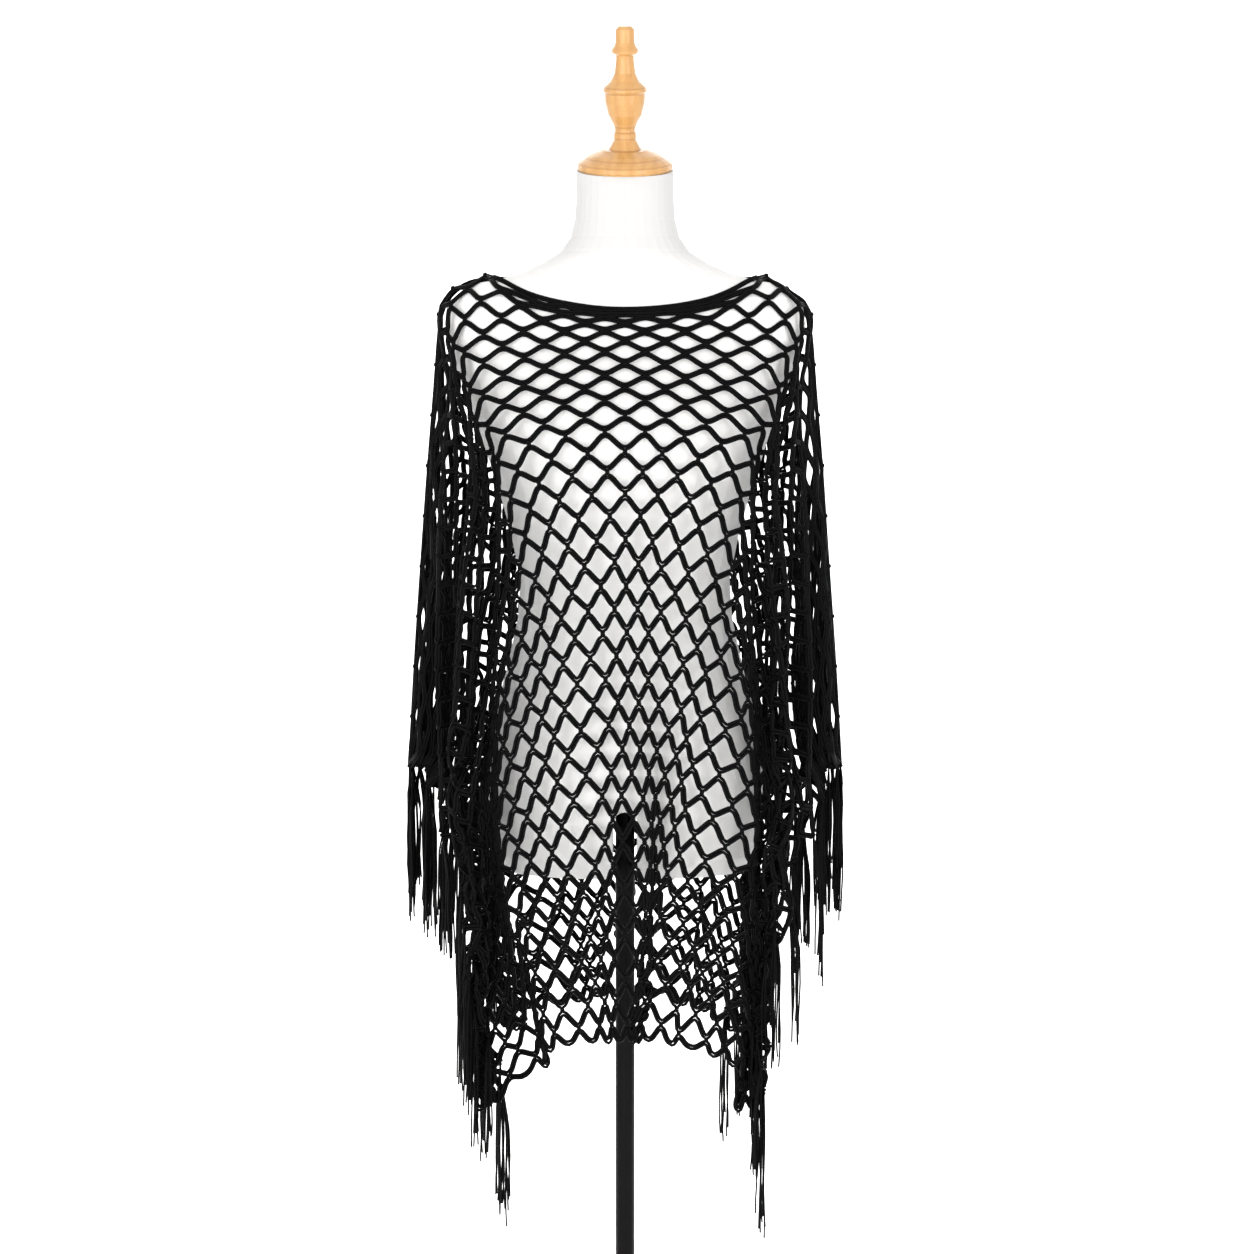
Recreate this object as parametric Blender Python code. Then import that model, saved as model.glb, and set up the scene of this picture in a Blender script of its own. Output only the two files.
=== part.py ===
"""A fringed net poncho on a limbless dress form with a turned neck cap, a pole and a round foot.

Metres, +Z up. The front faces -Y and the origin is on the floor, under the middle of the foot.
The poncho is two oblong panels of net joined along the shoulders, with fringe on their side edges.
"""

import math

import bmesh
import bpy
from mathutils import Vector

# Driving dimensions of the cloth
NET_WALL = 0.002
SEAM_GAP = 0.0003
CLEAR_OF_FORM = 0.0055
FRONT_NECK_HEIGHT = 1.3828
BACK_NECK_HEIGHT = 1.4020
NECK_RISE_POWER = 2.2
SHOULDER_CAP_FOOT = 1.340
SLIT_PLACE = 0.48
YOKE_STRAIGHT = 0.75
YOKE_ROWS = 4
HANGING_ROWS = 12

# Driving dimensions of the fringe
STRIP_DEEP = 0.007
STRAND_WIDE = 0.0022
STRAND_LONG = 0.150
STRAND_UNEVEN = 0.009

# Driving dimensions of the form, its cap and its stand
FORM_POWER = 2.2
FORM_POINTS = 36
NECK_TILT = math.radians(11)
NECK_TILT_FOOT = 1.470
NECK_TOP = 1.539
ARCH_TOP = 0.806
POLE_RADIUS = 0.0112
SOCKET_TOP = 0.940
ROUND_POINTS = 24
EDGE_ROUNDING = 0.0015
ARCH_SPARE = 0.0030
FOOT_RADIUS = 0.190
FOOT_THICK = 0.006
COLLAR_TALL = 0.036
COLLAR_RADIUS = 0.0195
FLANGE_RADIUS = 0.0335
FOOT_POINTS = 64
CAP_POINTS = 28

# The form, a row for each level: height, half width, depth to the front, depth to the back
FORM_LEVELS = (
    (0.726, 0.140, 0.092, 0.100),
    (0.745, 0.150, 0.101, 0.109),
    (0.790, 0.160, 0.109, 0.117),
    (0.840, 0.162, 0.111, 0.120),
    (0.900, 0.154, 0.107, 0.115),
    (0.965, 0.137, 0.099, 0.100),
    (1.020, 0.125, 0.094, 0.090),
    (1.065, 0.122, 0.095, 0.088),
    (1.120, 0.133, 0.106, 0.095),
    (1.160, 0.144, 0.117, 0.101),
    (1.200, 0.157, 0.126, 0.106),
    (1.235, 0.168, 0.127, 0.109),
    (1.270, 0.180, 0.119, 0.109),
    (1.305, 0.194, 0.106, 0.106),
    (1.335, 0.204, 0.093, 0.101),
    (1.362, 0.209, 0.081, 0.094),
    (1.380, 0.207, 0.074, 0.089),
    (1.392, 0.199, 0.070, 0.085),
    (1.401, 0.185, 0.067, 0.081),
    (1.4097, 0.169, 0.064, 0.077),
    (1.4135, 0.149, 0.063, 0.076),
    (1.420, 0.122, 0.061, 0.075),
    (1.432, 0.096, 0.0585, 0.071),
    (1.445, 0.075, 0.056, 0.066),
    (1.462, 0.063, 0.053, 0.060),
    (1.482, 0.058, 0.051, 0.056),
    (1.505, 0.0565, 0.050, 0.053),
    (NECK_TOP, 0.0560, 0.050, 0.052),
)

# The shoulder seam from the end of the neck slit to its tip: distance from the middle, height
SEAM_LINE = (
    (0.1610, 1.4135),
    (0.1750, 1.4100),
    (0.1900, 1.4045),
    (0.2030, 1.3970),
    (0.2110, 1.3905),
    (0.2160, 1.3830),
)
SLIT_HALF = SEAM_LINE[0][0]
SHOULDER_TIP = SEAM_LINE[-1][0]

# How the cloth hangs, a row for each level: height, half width, depth to the front and to the back,
# depth of a full fold either way
CLOTH_LEVELS = (
    (0.440, 0.2250, 0.1280, 0.1310, 0.0160),
    (0.550, 0.2240, 0.1270, 0.1300, 0.0180),
    (0.700, 0.2230, 0.1260, 0.1300, 0.0215),
    (0.850, 0.2220, 0.1250, 0.1290, 0.0225),
    (0.950, 0.2160, 0.1230, 0.1210, 0.0220),
    (1.040, 0.2130, 0.1240, 0.1150, 0.0200),
    (1.120, 0.2110, 0.1290, 0.1140, 0.0170),
    (1.190, 0.2110, 0.1350, 0.1170, 0.0140),
    (1.240, 0.2120, 0.1350, 0.1180, 0.0110),
    (1.290, 0.2150, 0.1185, 0.1150, 0.0060),
    (1.340, 0.2165, 0.1000, 0.1080, 0.0010),
    (1.385, 0.2155, 0.0850, 0.0960, 0.0000),
)

# Folds from the side of the body (place 0) to its middle (place 1), a row for each crest or trough:
# place, share of a full fold outwards, steps of the mesh up to the next row
FRONT_LEFT_FOLDS = (
    (0.000, 1.00, 3),
    (0.070, -0.85, 3),
    (0.145, 0.80, 3),
    (0.225, -1.00, 3),
    (0.305, 0.95, 3),
    (0.385, -0.75, 3),
    (0.455, 0.85, 3),
    (0.530, -0.60, 3),
    (0.600, 0.40, 3),
    (0.710, -0.16, 2),
    (0.830, 0.18, 2),
    (0.920, -0.10, 1),
    (1.000, 0.05, 0),
)
FRONT_RIGHT_FOLDS = (
    (0.000, 1.00, 3),
    (0.080, -0.80, 3),
    (0.160, 0.95, 3),
    (0.235, -0.90, 3),
    (0.315, 0.80, 3),
    (0.395, -0.95, 3),
    (0.470, 0.70, 3),
    (0.530, -0.55, 3),
    (0.605, 0.45, 3),
    (0.700, -0.20, 2),
    (0.810, 0.14, 2),
    (0.920, -0.08, 1),
    (1.000, 0.05, 0),
)
BACK_LEFT_FOLDS = (
    (0.000, 1.00, 3),
    (0.075, -0.75, 3),
    (0.150, 0.90, 3),
    (0.230, -0.95, 3),
    (0.320, 0.85, 3),
    (0.400, -0.80, 3),
    (0.480, 0.80, 3),
    (0.560, -0.50, 3),
    (0.630, 0.35, 3),
    (0.730, -0.15, 2),
    (0.850, 0.20, 2),
    (0.930, 0.00, 1),
    (1.000, -0.10, 0),
)
BACK_RIGHT_FOLDS = (
    (0.000, 1.00, 3),
    (0.075, -0.85, 3),
    (0.155, 0.85, 3),
    (0.245, -0.90, 3),
    (0.325, 0.95, 3),
    (0.410, -0.75, 3),
    (0.480, 0.70, 3),
    (0.560, -0.45, 3),
    (0.640, 0.40, 3),
    (0.740, -0.18, 2),
    (0.860, 0.16, 2),
    (0.940, 0.00, 1),
    (1.000, -0.10, 0),
)

# Lower edge of each panel, a row for each bend of it: place, height. The fringed side edge comes down
# from the end of the shoulder fold at place 0 to the panel's corner, and the plain hem goes on from there.
FRONT_EDGE = (
    (0.00, 0.846),
    (0.08, 0.842),
    (0.16, 0.820),
    (0.24, 0.770),
    (0.32, 0.695),
    (0.40, 0.612),
    (0.47, 0.545),
    (0.53, 0.482),
    (0.60, 0.496),
    (0.70, 0.508),
    (0.81, 0.530),
    (0.90, 0.552),
    (1.00, 0.536),
)
FRONT_CORNER = 0.53
BACK_EDGE = (
    (0.00, 0.846),
    (0.08, 0.842),
    (0.16, 0.824),
    (0.24, 0.785),
    (0.32, 0.730),
    (0.40, 0.672),
    (0.48, 0.610),
    (0.56, 0.552),
    (0.64, 0.566),
    (0.74, 0.580),
    (0.86, 0.600),
    (1.00, 0.590),
)
BACK_CORNER = 0.56

# Outline of the turned neck cap, a row for each bend: height above the neck, radius
CAP_OUTLINE = (
    (0.0003, 0.0535),
    (0.0030, 0.0555),
    (0.0075, 0.0555),
    (0.0100, 0.0530),
    (0.0120, 0.0500),
    (0.0185, 0.0400),
    (0.0225, 0.0290),
    (0.0240, 0.0262),
    (0.0245, 0.0190),
    (0.0290, 0.0165),
    (0.0355, 0.0128),
    (0.0380, 0.0130),
    (0.0430, 0.0130),
    (0.0445, 0.0118),
    (0.0480, 0.0118),
    (0.0540, 0.0140),
    (0.0640, 0.0195),
    (0.0780, 0.0230),
    (0.0890, 0.0238),
    (0.0920, 0.0257),
    (0.0950, 0.0250),
    (0.1030, 0.0165),
    (0.1120, 0.0122),
    (0.1280, 0.0104),
    (0.1320, 0.0106),
    (0.1350, 0.0150),
    (0.1385, 0.0158),
    (0.1430, 0.0125),
    (0.1470, 0.0112),
    (0.1500, 0.0112),
    (0.1620, 0.0110),
    (0.1655, 0.0070),
)


def material(name, colour, roughness, metallic=0.0):
    made = bpy.data.materials.new(name)
    made.use_nodes = True
    shader = made.node_tree.nodes["Principled BSDF"]
    shader.inputs["Base Color"].default_value = (*colour, 1.0)
    shader.inputs["Roughness"].default_value = roughness
    shader.inputs["Metallic"].default_value = metallic
    made.diffuse_color = (*colour, 1.0)
    return made


def between(rows, place, column):
    """A column of a table at a place, along straight lines between its rows."""
    for low, high in zip(rows[:-1], rows[1:]):
        if place <= high[0]:
            share = max(0.0, (place - low[0]) / (high[0] - low[0]))
            return low[column] + share * (high[column] - low[column])
    return rows[-1][column]


def add_object(name, mesh_builder, finish):
    """The finished object of a bmesh: normals outwards, round faces shaded smooth."""
    bmesh.ops.recalc_face_normals(mesh_builder, faces=mesh_builder.faces)
    mesh = bpy.data.meshes.new(name)
    mesh_builder.to_mesh(mesh)
    mesh_builder.free()
    mesh.shade_smooth()
    mesh.set_sharp_from_angle(angle=math.radians(40))
    made = bpy.data.objects.new(name, mesh)
    made.data.materials.append(finish)
    bpy.context.scene.collection.objects.link(made)
    return made


def loft(name, rings, finish):
    """A closed body through rings of equal counts of points, its two ends filled."""
    builder = bmesh.new()
    loops = [[builder.verts.new(point) for point in ring] for ring in rings]
    count = len(rings[0])
    for lower, upper in zip(loops[:-1], loops[1:]):
        for k in range(count):
            following = (k + 1) % count
            builder.faces.new((lower[k], lower[following], upper[following], upper[k]))
    builder.faces.new(loops[0])
    builder.faces.new(loops[-1])
    return add_object(name, builder, finish)


def turned(name, outline, points, finish):
    """A turned piece: an outline of (height, radius) rows carried round the upright axis."""
    rings = []
    for height, radius in outline:
        angles = [2 * math.pi * k / points for k in range(points)]
        rings.append([(radius * math.cos(a), radius * math.sin(a), height) for a in angles])
    return loft(name, rings, finish)


def cut_away(piece, cutter):
    """Subtracts the cutter, which stays hidden in the scene, from the piece."""
    cutter.hide_render = True
    cutter.display_type = "WIRE"
    cut = piece.modifiers.new(cutter.name, "BOOLEAN")
    cut.operation = "DIFFERENCE"
    cut.solver = "EXACT"
    cut.object = cutter


def signed_power(value, power):
    return math.copysign(abs(value) ** power, value)


def oval(angle, half_width, front, back):
    """A point of a level's oval. Angle 0 is at +X and the front is at -Y."""
    x = half_width * signed_power(math.cos(angle), 2 / FORM_POWER)
    y = signed_power(math.sin(angle), 2 / FORM_POWER)
    return Vector((x, y * (back if y > 0 else front), 0.0))


def make_dress_form(finish):
    rings = []
    for height, half_width, front, back in FORM_LEVELS:
        lean = min(1.0, max(0.0, (height - NECK_TILT_FOOT) / (NECK_TOP - NECK_TILT_FOOT)))
        ring = []
        for k in range(FORM_POINTS):
            point = oval(2 * math.pi * k / FORM_POINTS, half_width, front, back)
            point.z = height + lean * math.tan(NECK_TILT) * point.y
            ring.append(point)
        rings.append(ring)
    form = loft("dress_form", rings, finish)
    cut_pole_socket(form)
    return form


def cut_pole_socket(form):
    """The round-topped arch between the thighs, and above it the socket that the pole stands in."""
    half_arch = POLE_RADIUS + ARCH_SPARE
    spring = ARCH_TOP - half_arch
    arch = [(-half_arch, 0.60)]
    for k in range(9):
        turn = math.pi * (1 - k / 8)
        arch.append((half_arch * math.cos(turn), spring + half_arch * math.sin(turn)))
    arch.append((half_arch, 0.60))
    rings = [[(x, y, z) for x, z in arch] for y in (-0.2, 0.2)]
    slot = loft("arch_cutter", rings, None)
    bore_radius = POLE_RADIUS + SEAM_GAP
    bore = turned("socket_cutter", ((0.70, bore_radius), (SOCKET_TOP, bore_radius)), ROUND_POINTS, None)
    cut_away(form, slot)
    cut_away(form, bore)


def make_neck_cap(finish):
    cap = turned("neck_cap", CAP_OUTLINE, CAP_POINTS, finish)
    cap.location = (0.0, 0.0, NECK_TOP)
    cap.rotation_euler = (NECK_TILT, 0.0, 0.0)
    return cap


def make_stand(finish):
    """The round foot, the pole and the collar that holds the pole to the foot."""
    foot_outline = (
        (0.0, FOOT_RADIUS - EDGE_ROUNDING),
        (EDGE_ROUNDING, FOOT_RADIUS),
        (FOOT_THICK - EDGE_ROUNDING, FOOT_RADIUS),
        (FOOT_THICK, FOOT_RADIUS - EDGE_ROUNDING),
    )
    turned("foot_plate", foot_outline, FOOT_POINTS, finish)
    pole_foot = FOOT_THICK + SEAM_GAP
    pole_top = SOCKET_TOP - SEAM_GAP
    pole_outline = (
        (pole_foot, POLE_RADIUS),
        (pole_top - EDGE_ROUNDING, POLE_RADIUS),
        (pole_top, POLE_RADIUS - EDGE_ROUNDING),
    )
    turned("pole", pole_outline, ROUND_POINTS, finish)
    collar_outline = (
        (pole_foot, FLANGE_RADIUS),
        (pole_foot + 0.004, FLANGE_RADIUS),
        (pole_foot + 0.007, COLLAR_RADIUS + 0.003),
        (pole_foot + 0.010, COLLAR_RADIUS),
        (pole_foot + COLLAR_TALL - EDGE_ROUNDING, COLLAR_RADIUS),
        (pole_foot + COLLAR_TALL, COLLAR_RADIUS - EDGE_ROUNDING),
    )
    collar = turned("pole_collar", collar_outline, ROUND_POINTS, finish)
    bore_radius = POLE_RADIUS + SEAM_GAP
    bore = turned("collar_cutter", ((0.0, bore_radius), (0.1, bore_radius)), ROUND_POINTS, None)
    cut_away(collar, bore)


def form_excess(point):
    """Over 0 outside the form, under 0 inside it, at the form's own oval for that height."""
    half_width = between(FORM_LEVELS, point.z, 1)
    depth = between(FORM_LEVELS, point.z, 2 if point.y < 0 else 3)
    share = abs(point.x / half_width) ** FORM_POWER + abs(point.y / depth) ** FORM_POWER
    return share ** (1 / FORM_POWER) - 1


def clear_of_form(point, clearance, keep_middle=False):
    """The point, moved straight out until it is clear of the form. keep_middle holds it in the side plane."""
    moved = point.copy()
    small = 0.001
    for _ in range(12):
        excess = form_excess(moved)
        slope = Vector()
        for axis in range(3):
            if keep_middle and axis == 1:
                continue
            shifted = moved.copy()
            shifted[axis] += small
            slope[axis] = (form_excess(shifted) - excess) / small
        size = max(slope.length, 1e-6)
        lacking = clearance - excess / size
        if lacking < 1e-5:
            break
        moved += slope.normalized() * lacking
    return moved


def fold_share(folds, place):
    """How far out the cloth stands at a place, from the crests and troughs of its folds."""
    for low, high in zip(folds[:-1], folds[1:]):
        if place <= high[0] + 1e-9:
            share = (place - low[0]) / (high[0] - low[0])
            wave = 0.5 - 0.5 * math.cos(math.pi * share)
            return low[1] + wave * (high[1] - low[1])
    return folds[-1][1]


def places_of(folds):
    """The mesh's columns, each as its place from the side of the body to the middle."""
    places = []
    for low, high in zip(folds[:-1], folds[1:]):
        places += [low[0] + (high[0] - low[0]) * k / low[2] for k in range(low[2])]
    return places + [folds[-1][0]]


def hanging_point(place, height, folds, side, facing):
    """A point of the hanging cloth. side is -1 at the left and 1 at the right, facing -1 at the front."""
    half_width = between(CLOTH_LEVELS, height, 1)
    depth = between(CLOTH_LEVELS, height, 2 if facing < 0 else 3)
    fold = between(CLOTH_LEVELS, height, 4) * fold_share(folds, place)
    angle = place * math.pi / 2
    x = half_width * math.cos(angle) ** (2 / FORM_POWER)
    y = depth * math.sin(angle) ** (2 / FORM_POWER)
    outwards = Vector((math.cos(angle) / half_width, math.sin(angle) / depth, 0.0)).normalized()
    x += fold * outwards.x
    y = max(y + fold * outwards.y, SEAM_GAP / 2)
    return Vector((side * x, facing * y, height))


def top_point(place, side, facing):
    """A point of the panel's upper edge: the shoulder seam first, then the neck edge up to its middle."""
    if place <= SLIT_PLACE:
        x = SHOULDER_TIP + (SLIT_HALF - SHOULDER_TIP) * place / SLIT_PLACE
        return Vector((side * x, facing * SEAM_GAP / 2, between(SEAM_LINE, x, 1)))
    neck_height = FRONT_NECK_HEIGHT if facing < 0 else BACK_NECK_HEIGHT
    x = SLIT_HALF * (1 - place) / (1 - SLIT_PLACE)
    rise = (x / SLIT_HALF) ** NECK_RISE_POWER
    z = neck_height + (SEAM_LINE[0][1] - neck_height) * rise
    inside = min(1.0, x / between(FORM_LEVELS, z, 1))
    depth = between(FORM_LEVELS, z, 2 if facing < 0 else 3)
    y = depth * (1 - inside**FORM_POWER) ** (1 / FORM_POWER) + SEAM_GAP
    return clear_of_form(Vector((side * x, facing * y, z)), CLEAR_OF_FORM)


def panel_column(place, folds, edge, side, facing):
    """One line of the panel from its upper edge down to its lower edge."""
    top = top_point(place, side, facing)
    shoulder_foot = hanging_point(place, SHOULDER_CAP_FOOT, folds, side, facing)
    round_share = min(1.0, max(0.0, (YOKE_STRAIGHT - place) / (YOKE_STRAIGHT - SLIT_PLACE)))
    column = [top]
    for k in range(1, YOKE_ROWS):
        share = k / YOKE_ROWS
        turn = share * math.pi / 2
        point = top.lerp(shoulder_foot, share + round_share * (math.sin(turn) - share))
        point.z = top.z + (shoulder_foot.z - top.z) * (share + round_share * (1 - math.cos(turn) - share))
        column.append(point)
    lowest = between(edge, place, 1)
    for k in range(HANGING_ROWS + 1):
        share = k / HANGING_ROWS
        height = SHOULDER_CAP_FOOT + (lowest - SHOULDER_CAP_FOOT) * share
        column.append(hanging_point(place, height, folds, side, facing))
    cleared = [column[0]]
    for point in column[1:]:
        on_seam = place == 0.0
        cleared.append(clear_of_form(point, CLEAR_OF_FORM, keep_middle=on_seam))
    return cleared


def panel_grid(left_folds, right_folds, edge, facing):
    """The panel's columns from its left side to its right side."""
    left = [panel_column(place, left_folds, edge, -1, facing) for place in places_of(left_folds)]
    right = [panel_column(place, right_folds, edge, 1, facing) for place in places_of(right_folds)]
    return left + right[-2::-1]


def grid_normals(grid, facing):
    """The outward direction at each point of a grid of columns."""
    columns, rows = len(grid), len(grid[0])
    normals = []
    for c in range(columns):
        line = []
        for r in range(rows):
            across = grid[min(c + 1, columns - 1)][r] - grid[max(c - 1, 0)][r]
            down = grid[c][min(r + 1, rows - 1)] - grid[c][max(r - 1, 0)]
            normal = across.cross(down) * facing
            if abs(grid[c][r].y) < SEAM_GAP:
                normal.y = 0.0
            if r == rows - 1:
                normal.z = 0.0
            line.append(normal.normalized())
        normals.append(line)
    return normals


def cloth_wall(name, grid, normals, finish):
    """A closed wall of even thickness on both sides of a grid of points."""
    builder = bmesh.new()
    columns, rows = len(grid), len(grid[0])
    sheets = []
    for way in (0.5, -0.5):
        sheet = []
        for c in range(columns):
            line = zip(grid[c], normals[c])
            sheet.append([builder.verts.new(point + normal * way * NET_WALL) for point, normal in line])
        sheets.append(sheet)
    for sheet in sheets:
        for c in range(columns - 1):
            for r in range(rows - 1):
                builder.faces.new((sheet[c][r], sheet[c + 1][r], sheet[c + 1][r + 1], sheet[c][r + 1]))
    rim = [(c, 0) for c in range(columns)]
    rim += [(columns - 1, r) for r in range(1, rows)]
    rim += [(c, rows - 1) for c in range(columns - 2, -1, -1)]
    rim += [(0, r) for r in range(rows - 2, 0, -1)]
    for (c0, r0), (c1, r1) in zip(rim, rim[1:] + rim[:1]):
        outer, inner = sheets
        builder.faces.new((outer[c0][r0], outer[c1][r1], inner[c1][r1], inner[c0][r0]))
    return add_object(name, builder, finish)


def fringe_stations(edge_line):
    """Points along the strip under a side edge, as (point, normal, starts a strand), two strands to a step."""
    lowered = []
    for k, (point, normal) in enumerate(edge_line):
        before, after = edge_line[max(k - 1, 0)][0], edge_line[min(k + 1, len(edge_line) - 1)][0]
        run = max(0.001, (after - before).xy.length)
        steepness = abs(after.z - before.z) / run
        drop = SEAM_GAP * (2 + 2 * steepness)
        lowered.append((point - Vector((0.0, 0.0, drop)), normal))
    stations = []
    for (low, low_normal), (high, high_normal) in zip(lowered[:-1], lowered[1:]):
        wide = min(0.35, STRAND_WIDE / (high - low).xy.length)
        for share, strand in ((0.0, True), (wide, False), (0.5, True), (0.5 + wide, False)):
            stations.append((low.lerp(high, share), low_normal.lerp(high_normal, share), strand))
    return stations + [(*lowered[-1], False)]


def fringe(name, edge_line, finish):
    """A narrow strip just under a panel's side edge, with the strands hanging from it."""
    builder = bmesh.new()
    stations = fringe_stations(edge_line)
    rings = []
    for top, normal, _ in stations:
        level = normal * NET_WALL / 2
        foot = top - Vector((0.0, 0.0, STRIP_DEEP))
        rings.append([builder.verts.new(corner) for corner in (top + level, top - level, foot - level, foot + level)])
    strand_feet = []
    for k in range(len(rings) - 1):
        first, second = rings[k], rings[k + 1]
        for a, b in ((0, 1), (1, 2), (3, 0)):
            builder.faces.new((first[a], first[b], second[b], second[a]))
        foot = builder.faces.new((first[2], first[3], second[3], second[2]))
        if stations[k][2]:
            strand_feet.append(foot)
    builder.faces.new(rings[0])
    builder.faces.new(rings[-1])
    bmesh.ops.recalc_face_normals(builder, faces=builder.faces)
    made = bmesh.ops.extrude_discrete_faces(builder, faces=strand_feet)
    for k, face in enumerate(made["faces"]):
        drop = STRAND_LONG + STRAND_UNEVEN * math.sin(2.4 * k) + STRAND_UNEVEN / 2 * math.sin(7.1 * k)
        middle = face.calc_center_median()
        level = middle.z - drop
        for vertex in face.verts:
            vertex.co.z = level
    return add_object(name, builder, finish)


def make_panel(name, facing, left_folds, right_folds, edge, corner, net, tassel):
    """One panel of the poncho, and the fringe on its two side edges."""
    grid = panel_grid(left_folds, right_folds, edge, facing)
    normals = grid_normals(grid, facing)
    cloth_wall(name, grid, normals, net)
    left_steps = sum(place <= corner + 1e-6 for place in places_of(left_folds))
    right_steps = sum(place <= corner + 1e-6 for place in places_of(right_folds))
    lower_edge = [(column[-1], normal[-1]) for column, normal in zip(grid, normals)]
    fringe(name.replace("panel", "left_fringe"), lower_edge[:left_steps], tassel)
    fringe(name.replace("panel", "right_fringe"), lower_edge[-right_steps:], tassel)


def main():
    for old in list(bpy.data.objects):
        bpy.data.objects.remove(old, do_unlink=True)
    net = material("black net", (0.012, 0.012, 0.013), 0.55)
    tassel = material("black fringe", (0.012, 0.012, 0.013), 0.60)
    shell = material("white form", (0.86, 0.85, 0.83), 0.60)
    wood = material("light wood", (0.72, 0.43, 0.19), 0.40)
    steel = material("black painted steel", (0.012, 0.011, 0.012), 0.35)
    make_stand(steel)
    make_dress_form(shell)
    make_neck_cap(wood)
    make_panel("front_panel", -1, FRONT_LEFT_FOLDS, FRONT_RIGHT_FOLDS, FRONT_EDGE, FRONT_CORNER, net, tassel)
    make_panel("back_panel", 1, BACK_LEFT_FOLDS, BACK_RIGHT_FOLDS, BACK_EDGE, BACK_CORNER, net, tassel)


main()
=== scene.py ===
"""Looks of a fringed net poncho that hangs on a limbless dress form with a turned cap and a steel stand."""
import math

import bpy
import numpy as np
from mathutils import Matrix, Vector, kdtree


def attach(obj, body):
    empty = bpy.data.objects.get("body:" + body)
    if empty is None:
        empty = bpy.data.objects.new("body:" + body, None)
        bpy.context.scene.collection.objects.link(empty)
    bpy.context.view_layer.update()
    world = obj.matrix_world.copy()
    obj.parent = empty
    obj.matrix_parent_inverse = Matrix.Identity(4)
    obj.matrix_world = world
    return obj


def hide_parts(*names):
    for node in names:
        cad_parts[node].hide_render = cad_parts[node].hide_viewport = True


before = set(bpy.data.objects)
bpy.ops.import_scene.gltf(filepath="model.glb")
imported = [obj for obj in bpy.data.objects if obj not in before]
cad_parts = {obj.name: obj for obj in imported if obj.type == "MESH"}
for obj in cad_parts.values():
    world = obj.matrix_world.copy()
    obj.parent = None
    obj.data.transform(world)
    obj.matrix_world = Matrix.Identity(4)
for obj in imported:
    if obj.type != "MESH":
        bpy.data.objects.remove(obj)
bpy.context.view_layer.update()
bpy.ops.object.select_all(action="DESELECT")

# The camera stands level with the shoulders and a long way off, with a long lens.
# It looks a little down, so the foot plate is below the picture.
CAMERA_PLACE = Vector((0.0023, -4.200, 1.350))
CAMERA_AIM = Vector((0.0023, 0.0, 1.0095))
VIEW_TALL = 1.464

bpy.ops.object.camera_add(location=CAMERA_PLACE)
camera = bpy.context.object
camera.rotation_euler = (CAMERA_AIM - CAMERA_PLACE).to_track_quat("-Z", "Y").to_euler()
camera.data.sensor_fit = "HORIZONTAL"
camera.data.angle = 2 * math.atan(VIEW_TALL / 2 / (CAMERA_AIM - CAMERA_PLACE).length)
bpy.context.scene.camera = camera

# The floor is a wide sheet of pale paper that sweeps up behind the object.
# Four large soft lamps and a bright room light it evenly, as in a catalogue picture.
FLOOR_WIDE = 9.0
FLOOR_FRONT = -6.0
SWEEP_START = 2.2
SWEEP_RADIUS = 1.6
SWEEP_TALL = 5.0
SWEEP_STEPS = 16
PAPER_WHITE = (0.95, 0.95, 0.95, 1)
PAPER_GRAIN = 160.0
PAPER_GRAIN_DEEP = 0.0004
ROOM_WHITE = (1, 1, 1, 1)
ROOM_LIGHT = 1.03
# Each lamp: name, place, what it points at, size, power
LAMPS = (
    ("window_left", (-1.9, -3.6, 1.4), (0.0, 0.0, 0.90), 2.4, 66.0),
    ("window_right", (2.3, -3.4, 1.2), (0.0, 0.0, 0.85), 2.0, 46.0),
    ("lamp_above", (0.0, -0.4, 3.6), (0.0, 0.0, 1.20), 1.6, 3.0),
    ("lamp_on_paper", (0.0, 0.9, 2.6), (0.0, 4.0, 1.20), 2.6, 150.0),
)
RAMP_BLACK = (0, 0, 0, 1)
RAMP_WHITE = (1, 1, 1, 1)


class Reading:
    """A shader socket that takes part in sums, so a pattern is written as one expression."""

    def __init__(self, finish, socket):
        self.finish = finish
        self.socket = socket

    def sum(self, operation, first, second=0.0):
        return self.finish.node("ShaderNodeMath", {"operation": operation}, {0: first, 1: second})

    def __add__(self, other):
        return self.sum("ADD", self, other)

    __radd__ = __add__

    def __sub__(self, other):
        return self.sum("SUBTRACT", self, other)

    def __rsub__(self, other):
        return self.sum("SUBTRACT", other, self)

    def __mul__(self, other):
        return self.sum("MULTIPLY", self, other)

    __rmul__ = __mul__

    def __truediv__(self, other):
        return self.sum("DIVIDE", self, other)

    def __rtruediv__(self, other):
        return self.sum("DIVIDE", other, self)


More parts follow.
